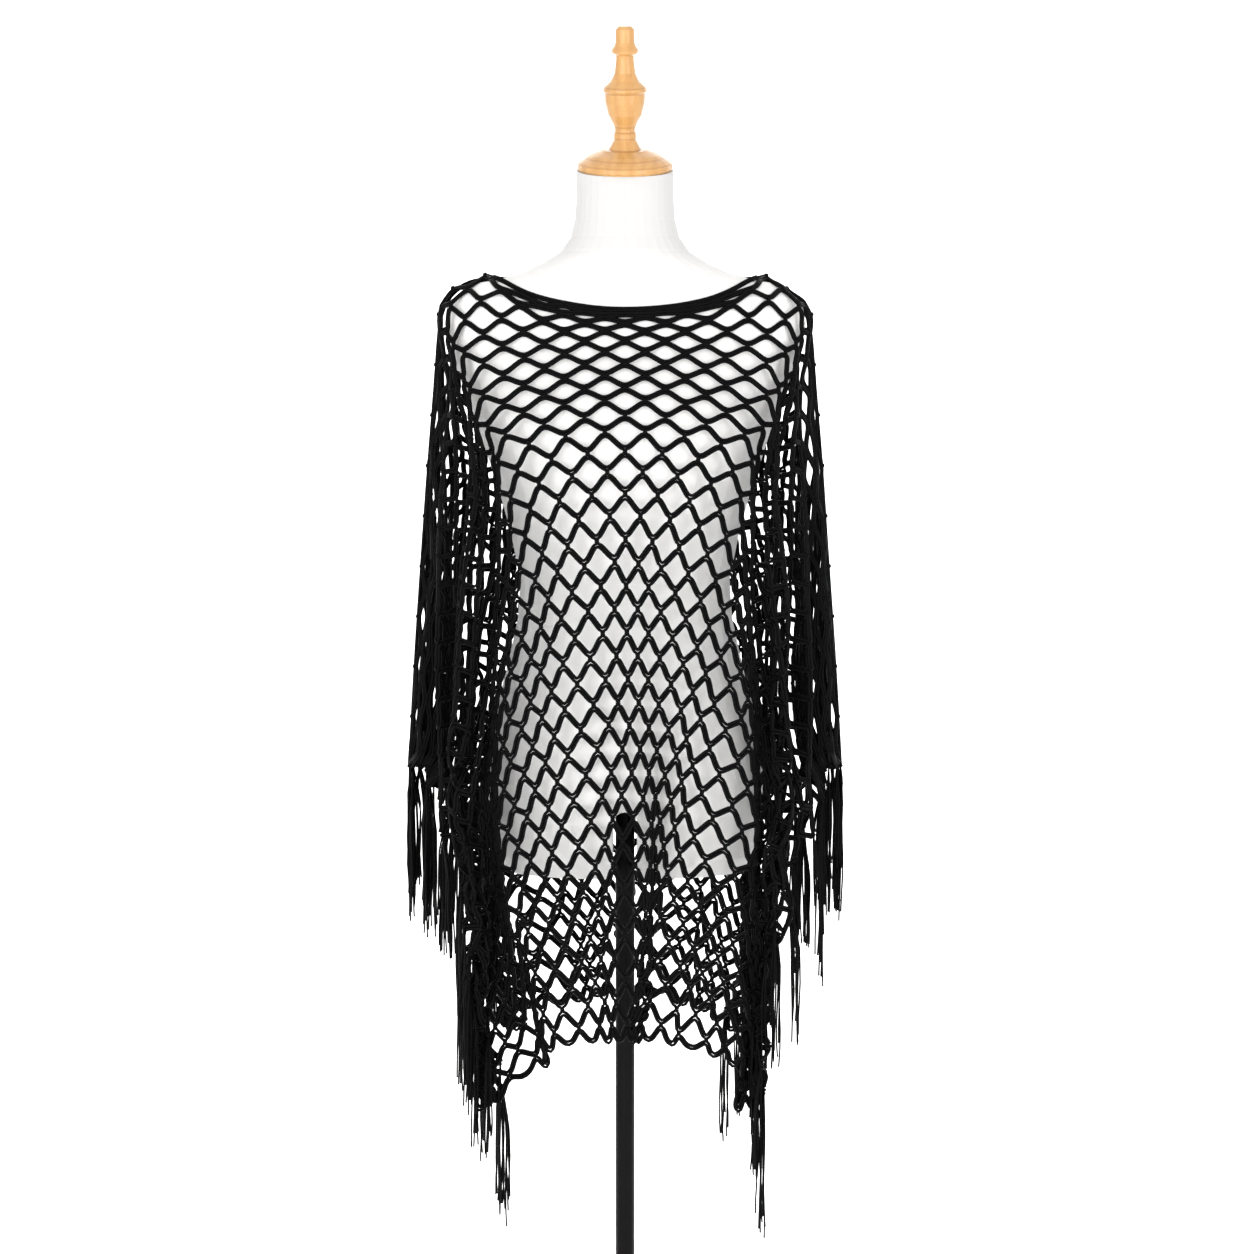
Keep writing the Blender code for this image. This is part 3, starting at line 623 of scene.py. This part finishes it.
# The middle grows uneven from this row down, and is held less from twice this row down
GROWS_FROM = 12
UNEVEN_WAVES = 5
UNEVEN_DEEP = 0.0014
UNEVEN_MIDDLE = 0.0022
# Some knots low down have caught on a neighbour and hang a little out of line
CAUGHT_BELOW = 16
CAUGHT_SHARE = 0.10
CAUGHT_FAR = 0.0042


def in_turns(pairs):
    """The pairs in groups in which no knot comes twice, so a group can be moved at once."""
    pairs = np.array(pairs)
    turn, taken = np.zeros(len(pairs), int), [set() for _ in knots]
    for k, (a, b) in enumerate(pairs):
        while turn[k] in taken[a] or turn[k] in taken[b]:
            turn[k] += 1
        taken[a].add(turn[k])
        taken[b].add(turn[k])
    return [pairs[turn == t] for t in range(turn.max() + 1)]


def pull(places, pairs, shortest=0.0, longest=np.inf, stiffness=1.0, press=1.0):
    """Brings pairs of knots back between their shortest and longest distance."""
    across = places[pairs[:, 1]] - places[pairs[:, 0]]
    far = np.maximum(np.linalg.norm(across, axis=1), 1e-9)
    wrong = np.where(far > longest, far - longest, np.where(far < shortest, (far - shortest) * press, 0))
    move = across * (0.5 * stiffness * wrong / far)[:, None]
    np.add.at(places, pairs[:, 0], move)
    np.add.at(places, pairs[:, 1], -move)


def form_distance(places):
    """How far each point is outside the form, and in which direction out is."""
    def excess(points):
        x, y, height = points.T
        deep = np.where(y < 0, by_table(FORM_LEVELS, height, 2), by_table(FORM_LEVELS, height, 3))
        wide = by_table(FORM_LEVELS, height)
        return (np.abs(x / wide) ** FORM_POWER + np.abs(y / deep) ** FORM_POWER) ** (1 / FORM_POWER)
    here, tiny = excess(places), 0.0005
    slope = np.stack([(excess(places + tiny * axis) - here) / tiny for axis in np.eye(3)], 1)
    steep = np.maximum(np.linalg.norm(slope, axis=1), 1e-9)
    return (here - 1) / steep, slope / steep[:, None]


strands, ties, edges = [], set(), set()
for (side, column, row), number in knot_number.items():
    for next_column in (column - 1, column + 1):
        if (side, next_column, row + 1) in knot_number:
            strands.append((number, knot_number[side, next_column, row + 1]))
    for other in ((side, column + 2, row), (side, column, row + 2)):
        if knot_number.get(other, number) != number:
            ties.add((number, knot_number[other]))
    if row == 0 and (side, column + 2, row) in knot_number:
        edges.add((number, knot_number[side, column + 2, row]))
strand_turns, tie_turns, edge_turns = in_turns(strands), in_turns(sorted(ties)), in_turns(sorted(edges))
tied = {tuple(sorted(pair)) for pair in strands}

rng = np.random.default_rng(4)
places = start_places + rng.normal(0, JITTER, start_places.shape)
lower = np.clip(knots[:, 2] / GROWS_FROM - 1, 0, 2.2) ** 1.3
for _ in range(UNEVEN_WAVES):
    turns = knots[:, 1] * rng.uniform(0.25, 1.1) + knots[:, 2] * rng.uniform(-0.35, 0.35) + knots[:, 0] * 2.0
    deep = UNEVEN_DEEP * folded_share + UNEVEN_MIDDLE * lower
    sway = np.sin(turns + rng.uniform(0, 2 * np.pi)) * (knots[:, 2] > 0) * deep
    start_places[:, :2] += sway[:, None] * np.array((1.0, rng.uniform(-1, 1)))
caught = (knots[:, 2] > CAUGHT_BELOW) & (rng.random(len(knots)) < CAUGHT_SHARE)
start_places[caught] += rng.normal(0, CAUGHT_FAR, (caught.sum(), 3)) * (1.0, 0.3, 1.0)
hold = HOLD_MIDDLE + (HOLD_FOLDED - HOLD_MIDDLE) * folded_share
hold *= 1 - HOLD_LOWER_LESS * np.clip(knots[:, 2] / GROWS_FROM - 2, 0, 1)
seam = knots[:, 2] == 0
past_tip = np.abs(knots[:, 1]) > TIP_COLUMN + 0.6
hold[seam & ~past_tip] = HOLD_SEAM
hold[seam & past_tip] = HOLD_TOP_EDGE
facing = np.where(knots[:, 0] == 0, -1, 1)
speed = np.zeros_like(places)
step_time = 1 / FRAME_RATE / STEPS
for _ in range(FRAMES):
    near = kdtree.KDTree(len(places))
    for number, place in enumerate(places):
        near.insert(place, number)
    near.balance()
    close = [(number, other) for number, place in enumerate(places)
             for _, other, _ in near.find_range(place, KNOTS_APART * 1.5)
             if other > number and (number, other) not in tied]
    close = np.array(close).reshape(-1, 2)
    for _ in range(STEPS):
        before = places.copy()
        speed[:, 2] -= GRAVITY * step_time
        speed *= 1 - AIR_DRAG * step_time
        speed *= np.minimum(1, SPEED_MOST / np.maximum(np.linalg.norm(speed, axis=1), 1e-9))[:, None]
        places += speed * step_time
        places += (start_places - places) * hold[:, None]
        for turn in strand_turns:
            pull(places, turn, STRAND_SHORTEST, STRAND_LONGEST, press=STRAND_PRESS)
        for turn in tie_turns:
            pull(places, turn, shortest=MESH_NARROWEST, stiffness=NET_PRESS)
        for turn in edge_turns:
            pull(places, turn, longest=EDGE_LONGEST)
        pull(places, close, shortest=KNOTS_APART, stiffness=NET_PRESS)
        distance, out = form_distance(places)
        on_form = (places[:, 2] > SKIN_FROM) & (places[:, 2] < SKIN_TO)
        touching = (distance < OFF_THE_FORM) & (distance > -SUNK_MOST) & on_form
        push = np.where(touching, OFF_THE_FORM - distance, 0)
        places += out * push[:, None]
        slid = places - before
        slid -= (slid * out).sum(1)[:, None] * out
        slid_far = np.maximum(np.linalg.norm(slid, axis=1), 1e-12)
        grip = np.minimum(1, SKIN_GRIP * push / slid_far) * touching
        places -= slid * grip[:, None]
        crossed = places[:, 1] * facing < OFF_MIDDLE_PLANE
        places[:, 1] = np.where(crossed, OFF_MIDDLE_PLANE * facing, places[:, 1])
        reach = by_table(CLOTH_LEVELS, places[:, 2]) + by_table(CLOTH_LEVELS, places[:, 2], 4)
        reach -= np.where(seam, 0.0, IN_FROM_SIDE)
        places[:, 0] = np.clip(places[:, 0], -reach, reach)
        speed = (places - before) / step_time

# Every strand is two thin black cords side by side, which part a little at each knot.
# The cords between two rows run on from knot to knot, in rounded bends under the upper knots and
# over the lower ones, and each knot is a short barrel of wound cord.
CORD_RADIUS = 0.00196
CORD_SIDES = 5
STRAND_STEPS = 7
# The steps along a strand are a little uneven, closer together where it bends
STEP_SHIFT = 0.045
# How far each cord is from its strand's middle: row, distance
CORD_APART = ((6, 0.00140), (20, 0.00170))
# How much further at a knot, how that varies, and how soon along the strand it is gone
KNOT_SPREAD = 0.00075
SPREAD_VARIES = (0.55, 1.25)
SPREAD_GONE = 3.2
# How far a bend stays from its knot's middle, as a share of the rows' distance, and its limits
KNOT_REACH = 0.17
KNOT_REACH_LEAST = 0.0020
KNOT_REACH_MOST = 0.0056
# How wide a bend is, and how much wider at a long knot
BEND_SHARE = 0.23
BEND_STEEP = 0.11
# The free meshes of the hem hang in longer, rounder loops, up to this column
HEM_REACH = 0.009
HEM_REACH_SHARE = 0.45
HEM_BEND = 1.6
HEM_LOOPS_TO = 18
HEM_LOOPS_FADE = 4
# The form's skin pushes out the points of a cord that have sunk in less than this
CORD_SUNK_MOST = 0.05
CORD_SKIN_FROM, CORD_SKIN_TO = 0.72, 1.54
KNOT_RADIUS = 0.0031
KNOT_SIDES = 6
# A knot's barrel: place along it, how wide; its half length as a share of the bend's reach, and more
KNOT_PROFILE = ((-1.0, 0.45), (-0.55, 1.0), (0.0, 0.78), (0.55, 1.0), (1.0, 0.45))
KNOT_LONG_SHARE = 0.62
KNOT_LONG_MORE = 0.0004
# How far the map runs on from one of its rings to the next
KNOT_RING_LONG = 0.0012
UPPER_ROWS = 20


def unit(vectors):
    return vectors / np.maximum(np.linalg.norm(vectors, axis=-1, keepdims=True), 1e-12)


def ring_quads(rings, sides):
    """The numbers of a tube's rings and sides, and its faces by corner, counted from 0."""
    k, s = np.meshgrid(np.arange(rings - 1), np.arange(sides), indexing="ij")
    t = (s + 1) % sides
    quads = np.stack([k * sides + s, k * sides + t, (k + 1) * sides + t, (k + 1) * sides + s], -1)
    return k, s, quads.reshape(-1, 4)


def rings_round(first, second, sides):
    """Unit rings round an axis, from the two directions across it."""
    turn = np.arange(sides) * 2 * np.pi / sides
    return np.cos(turn)[None, :, None] * first[:, None] + np.sin(turn)[None, :, None] * second[:, None]


def joined_mesh(name, corners, quads, caps, along_round):
    """Builds the mesh from arrays, smooth, and puts the object in the scene."""
    mesh = bpy.data.meshes.new(name)
    loops = np.concatenate([quads.ravel(), caps.ravel()])
    sizes = np.concatenate([np.full(len(quads), 4), np.full(len(caps), caps.shape[1])])
    mesh.vertices.add(len(corners))
    mesh.vertices.foreach_set("co", corners.astype(np.float32).ravel())
    mesh.loops.add(len(loops))
    mesh.loops.foreach_set("vertex_index", loops.astype(np.int32))
    mesh.polygons.add(len(sizes))
    mesh.polygons.foreach_set("loop_start", (np.cumsum(sizes) - sizes).astype(np.int32))
    mesh.update(calc_edges=True)
    layer = mesh.uv_layers.new(name="along_and_round")
    whole_map = np.concatenate([along_round.reshape(-1, 2), np.zeros((caps.size, 2))])
    layer.data.foreach_set("uv", whole_map.astype(np.float32).ravel())
    mesh.validate()
    mesh.shade_smooth()
    made = bpy.data.objects.new(name, mesh)
    bpy.context.collection.objects.link(made)
    return made


def tubes(name, paths, radius, outward):
    """One mesh of closed round cords, one along each path, with a map along and round them."""
    corners, quads, caps, along_round = [], [], [], []
    first = 0
    for path, guide in zip(paths, outward):
        count = len(path)
        forward = unit(np.gradient(path, axis=0))
        across = unit(np.cross(guide, forward))
        ring = rings_round(across, np.cross(forward, across), CORD_SIDES)
        corners.append((path[:, None] + ring * radius).reshape(-1, 3))
        far = np.concatenate([[0], np.cumsum(np.linalg.norm(np.diff(path, axis=0), axis=1))])
        k, s, faces = ring_quads(count, CORD_SIDES)
        quads.append(faces + first)
        u0, u1 = far[k], far[k + 1]
        v0, v1 = s / CORD_SIDES, (s + 1) / CORD_SIDES
        along_round.append(np.stack([u0, v0, u0, v1, u1, v1, u1, v0], -1).reshape(-1, 4, 2))
        caps.append(np.arange(CORD_SIDES)[::-1] + first)
        caps.append(np.arange(CORD_SIDES) + first + (count - 1) * CORD_SIDES)
        first += count * CORD_SIDES
    corners, quads, along_round = (np.concatenate(parts) for parts in (corners, quads, along_round))
    return joined_mesh(name, corners, quads, np.array(caps), along_round)


def panel_grid(side):
    """The panel's knots as a full grid by row and column, with the gaps between knots filled in."""
    grid = np.full((ROWS + 1, 2 * COLUMNS + 1, 3), np.nan)
    for (of_side, column, row), number in knot_number.items():
        if of_side == side:
            grid[row, column + COLUMNS] = places[number]
    padded = np.pad(grid, ((1, 1), (1, 1), (0, 0)), constant_values=np.nan)
    near = np.stack([padded[:-2, 1:-1], padded[2:, 1:-1], padded[1:-1, :-2], padded[1:-1, 2:]])
    counted = np.maximum((~np.isnan(near)).sum(0), 1)
    return np.where(np.isnan(grid), np.nansum(near, axis=0) / counted, grid)


panels = []
for side in (0, 1):
    grid = panel_grid(side)
    down, across = np.gradient(grid, axis=0), np.gradient(grid, axis=1)
    outward = unit(np.cross(across, down) * (1 if side == 0 else -1))
    step = np.linalg.norm(down, axis=-1)
    reach = np.clip(KNOT_REACH * step, KNOT_REACH_LEAST, KNOT_REACH_MOST)
    apart = by_table(CORD_APART, np.arange(ROWS + 1))[:, None]
    varies = rng.uniform(*SPREAD_VARIES, reach.shape)
    panels.append({
        "grid": grid, "down": unit(down), "across": unit(across), "outward": outward, "reach": reach,
        "spread": apart + KNOT_SPREAD * varies * (reach / KNOT_REACH_MOST) ** 2,
    })


def off_the_form(path, clear):
    """The path with the points that would sink into the form brought out to its skin."""
    distance, out = form_distance(path)
    on_form = (path[:, 2] > CORD_SKIN_FROM) & (path[:, 2] < CORD_SKIN_TO)
    near = (distance < clear) & (distance > -CORD_SUNK_MOST) & on_form
    return path + out * np.where(near, clear - distance, 0)[:, None]


def row_cords(panel, row):
    """The two cords between this row of knots and the next, as paths with their outward directions."""
    columns = np.arange(2 * COLUMNS + 1)
    below = (columns - COLUMNS + row) % 2 == 0
    rows = row + below
    grid, down, across, outward, reach, spread = (
        panel[key][rows, columns] for key in ("grid", "down", "across", "outward", "reach", "spread"))
    away, at_hem = np.abs(columns - COLUMNS), row == ROWS - 1
    if at_hem:
        gap = np.linalg.norm(np.gradient(grid, axis=0), axis=1)
        hanging = np.clip((HEM_LOOPS_TO - away) / HEM_LOOPS_FADE, 0, 1)
        longer = reach + (np.minimum(HEM_REACH, HEM_REACH_SHARE * gap) - reach) * hanging
        reach = np.where(below, longer, reach)
    apex = grid + down * (reach * np.where(below, -1, 1))[:, None]
    wide = np.abs(((grid[1:] - grid[:-1]) * unit(across[1:] + across[:-1])).sum(-1))
    bend = BEND_SHARE + BEND_STEEP * (reach[1:] + reach[:-1]) / 2 / KNOT_REACH_MOST
    handle = bend[:, None] * wide[:, None]
    rounder = np.where(at_hem & below & (away < HEM_LOOPS_TO), HEM_BEND, 1)[:, None]
    share = np.linspace(0, 1, STRAND_STEPS + 1)[:-1, None, None]
    share = share + STEP_SHIFT * np.sin(4 * np.pi * share)
    points = [apex[:-1], apex[:-1] + across[:-1] * handle * rounder[:-1],
              apex[1:] - across[1:] * handle * rounder[1:], apex[1:]]
    weights = [(1 - share) ** 3, 3 * share * (1 - share) ** 2, 3 * share**2 * (1 - share), share**3]
    middle = sum(w * p for w, p in zip(weights, points)).transpose(1, 0, 2).reshape(-1, 3)
    middle = off_the_form(np.vstack([middle, apex[-1:]]), OFF_THE_FORM / 2)
    share = share[:, :, 0]
    turned = share.T[..., None]
    guide = unit((outward[:-1, None] * (1 - turned) + outward[1:, None] * turned).reshape(-1, 3))
    guide = np.vstack([guide, outward[-1:]])
    from_knot = np.minimum(1, SPREAD_GONE * np.minimum(share, 1 - share))[:, 0]
    gap = np.where(share[:, 0][None] < 0.5, spread[:-1, None], spread[1:, None])
    apart = by_table(CORD_APART, row)
    gap = apart + (gap - apart) * (1 - from_knot[None])
    gap = np.append(gap.ravel(), spread[-1])[:, None]
    sideways = unit(np.cross(guide, unit(np.gradient(middle, axis=0))))
    return [(middle + sideways * gap, guide), (middle - sideways * gap, guide)]


def knot_bodies(name, panel, first_row):
    """The wound barrels of a panel's knots in one mesh."""
    here = np.array([(row, column + COLUMNS) for row in range(first_row, ROWS)
                     for column in range(-COLUMNS, COLUMNS + 1) if (column + row) % 2])
    centre, down, outward, reach = (
        panel[key][here[:, 0], here[:, 1]] for key in ("grid", "down", "outward", "reach"))
    profile = np.array(KNOT_PROFILE)
    long = KNOT_LONG_SHARE * reach + KNOT_LONG_MORE
    axis = centre[:, None] + down[:, None] * (profile[None, :, 0] * long[:, None])[..., None]
    ring = rings_round(unit(np.cross(down, outward)), outward, KNOT_SIDES)
    corners = axis[:, :, None] + ring[:, None] * (KNOT_RADIUS * profile[:, 1])[None, :, None, None]
    k, s, quads = ring_quads(len(profile), KNOT_SIDES)
    first = (np.arange(len(here)) * len(profile) * KNOT_SIDES)[:, None, None]
    low_cap = np.arange(KNOT_SIDES)
    caps = np.stack([low_cap, low_cap[::-1] + (len(profile) - 1) * KNOT_SIDES])
    v0, v1 = s / KNOT_SIDES, (s + 1) / KNOT_SIDES
    along = np.stack([k, v0, k + 1, v0, k + 1, v1, k, v1], -1).reshape(-1, 4, 2) * (KNOT_RING_LONG, 1)
    return joined_mesh(name, corners.reshape(-1, 3), (quads[None, :, [0, 3, 2, 1]] + first).reshape(-1, 4),
                       (caps[None] + first).reshape(-1, KNOT_SIDES), np.tile(along, (len(here), 1, 1)))


# The cord is a smooth yarn of twisted plies, black through and slightly shiny.
# A little dust greys it in places, and the crests of its plies are painted a little lighter as a painted sheen.
CORD_BLACK = (0.0016, 0.0015, 0.0017, 1)
CORD_DUST_AND_SHEEN = (0.0034, 0.0032, 0.0036, 1)
CORD_ROUGH, CORD_ROUGH_VARIES = 0.40, 0.20
TWIST_LONG = 0.0042
PLIES = 2
PLY_DEEP = 0.00016
PLY_SHEEN_SHARE = 0.25
DUST_SCALE, DUST_SHARE = 60.0, 0.6

yarn = Finish("black_twisted_yarn", specular_ior_level=0.06)
on_cord = yarn.node("ShaderNodeUVMap", {"uv_map": "along_and_round"})
along, around = (yarn.node("ShaderNodeSeparateXYZ", {}, {"Vector": on_cord}, axis) for axis in (0, 1))
twist = (along / TWIST_LONG + around * PLIES) * (2 * math.pi)
plies = twist.sum("SINE", twist) * 0.5 + 0.5
dust = yarn.noise(yarn.place(), DUST_SCALE, detail=4.0, roughness=0.6)
# The colour mixes real dust with a painted sheen along the ply crests
yarn.feed("Base Color", yarn.blend(dust * DUST_SHARE + plies * PLY_SHEEN_SHARE, CORD_BLACK, CORD_DUST_AND_SHEEN))
yarn.feed("Roughness", CORD_ROUGH + CORD_ROUGH_VARIES * dust)
yarn.bump(plies, PLY_DEEP, strength=0.5)


def dressed(piece, slot, *nodes):
    """The piece in black yarn, riding on the one body, in the place of the nodes named."""
    piece.data.materials.append(yarn.material)
    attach(piece, "root")
    if nodes:
        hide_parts(*nodes)
    return piece


panel_pieces = {"front": [], "back": []}
for side, word in enumerate(("front", "back")):
    for part, rows in (("upper", range(UPPER_ROWS)), ("lower", range(UPPER_ROWS, ROWS))):
        paths, guides = zip(*(run for row in rows for run in row_cords(panels[side], row)))
        net = tubes(f"{word}_net_{part}", paths, CORD_RADIUS, guides)
        panel_pieces[word].append(dressed(net, "net", f"{word}_panel"))
    wraps = knot_bodies(f"{word}_knots", panels[side], first_row=side)
    panel_pieces[word].append(dressed(wraps, "net", f"{word}_panel"))

# A doubled cord is threaded along the neck edge and on along the joined top edges of both panels.
# The cut ends of the back's cord stand out a little at the two ends of the neck slit.
EDGE_APART = 0.0012
EDGE_OUT = 0.0004
EDGE_LIFT = 0.0004
EDGE_SAMPLES = 6
EDGE_SMOOTHINGS = 12


def edge_path(side, columns):
    """A smooth path through the knots of a panel's top edge."""
    through = panels[side]["grid"][0, np.array(columns) + COLUMNS]
    outward = panels[side]["outward"][0, np.array(columns) + COLUMNS]
    share = np.arange(len(columns))
    fine = np.linspace(0, len(columns) - 1, (len(columns) - 1) * EDGE_SAMPLES + 1)
    path = np.stack([np.interp(fine, share, through[:, axis]) for axis in range(3)], -1)
    guide = np.stack([np.interp(fine, share, outward[:, axis]) for axis in range(3)], -1)
    for _ in range(EDGE_SMOOTHINGS):
        path[1:-1] = path[1:-1] * 0.5 + (path[:-2] + path[2:]) * 0.25
    return off_the_form(path, OFF_THE_FORM / 2), unit(guide)


runs, guides = [], []
for side, last in ((0, COLUMNS), (1, SLIT_COLUMN)):
    path, guide = edge_path(side, range(-last, last + 1, 2))
    for sign in (-1, 1):
        runs.append(path + guide * EDGE_OUT + sign * EDGE_APART * np.array((0.0, 0.0, 1.0)) + (0, 0, EDGE_LIFT))
        guides.append(guide)
edge_cord = dressed(tubes("neck_and_shoulder_cord", runs, CORD_RADIUS, guides), "net")

# The fringe is tassels of cut cord knotted into the two side edges of each panel, with plain ends.
# The cords hang straight under their own weight, a little wavy, about 145 mm long and cut unevenly.
# The length, how much tassels and cords differ in it, and what share of that goes to longer ones
FRINGE_LONG = 0.160
FRINGE_UNEVEN, TASSEL_LONGER = 0.034, 0.4
CORD_UNEVEN, CORD_LONGER = 0.026, 0.6
FRINGE_RADIUS = 0.00108
FRINGE_STEPS = 8
# The farthest from the middle that a cord may hang
FRINGE_REACH = 0.2545
# Cords tied into a knot: row, number
FRINGE_PER_KNOT = ((8, 4), (28, 9))
# How far a tassel hangs aside, how wide and deep it opens, and how soon below its knot
TASSEL_APART = 0.007
TASSEL_WIDE = 0.0055
TASSEL_DEEP = 0.020
TASSEL_OPENS = 3
WAVE_DEEP = 0.0013
WAVES = (0.6, 1.6)
# The rings of a hanging cord are turned by this direction, in which no cord runs
CORD_GUIDE = np.array((0.001, 1.001, 0.001))

fringes = {"front": [], "back": []}
for side, word in enumerate(("front", "back")):
    for half, hand in ((-1, "left"), (1, "right")):
        cords = []
        for row in range(0, ROWS + 1, 2):
            knot = panels[side]["grid"][row, half * COLUMNS + COLUMNS]
            tassel_aside = rng.normal(0, 0.5) * TASSEL_APART
            tassel_long = FRINGE_LONG + FRINGE_UNEVEN * rng.uniform(-1, TASSEL_LONGER)
            for _ in range(round(by_table(FRINGE_PER_KNOT, row))):
                long = tassel_long + CORD_UNEVEN * rng.uniform(-1, CORD_LONGER)
                down = np.linspace(0, 1, FRINGE_STEPS + 1)
                offset = rng.normal(0, 0.5, 2) * (TASSEL_WIDE, TASSEL_DEEP) + (tassel_aside, 0)
                phase, turns = rng.uniform(0, 2 * np.pi, 2), rng.uniform(*WAVES, 2)
                opened = np.minimum(1, down * TASSEL_OPENS)[:, None]
                sway = np.sin(down[:, None] * turns * 2 * np.pi + phase) * WAVE_DEEP * down[:, None]
                hung = knot[:2] + offset * opened + sway
                beyond = np.maximum(np.abs(hung[:, 0]) - FRINGE_REACH, 0)
                hung[:, 0] -= np.sign(hung[:, 0]) * 2 * beyond
                cords.append(np.column_stack([hung, knot[2] - down * long]))
        guides = [np.tile(CORD_GUIDE, (len(cord), 1)) for cord in cords]
        fringe = tubes(f"{word}_{hand}_fringe_cords", cords, FRINGE_RADIUS, guides)
        fringes[word].append(dressed(fringe, "fringe", f"{word}_{hand}_fringe"))


def cord_area(piece):
    """Half the surface of closed round cords, which is what a flat measure of them counts."""
    return sum(polygon.area for polygon in piece.data.polygons) / 2


for word, (upper, lower, knot_wraps) in panel_pieces.items():
    cord_area(upper)
    cord_area(lower)
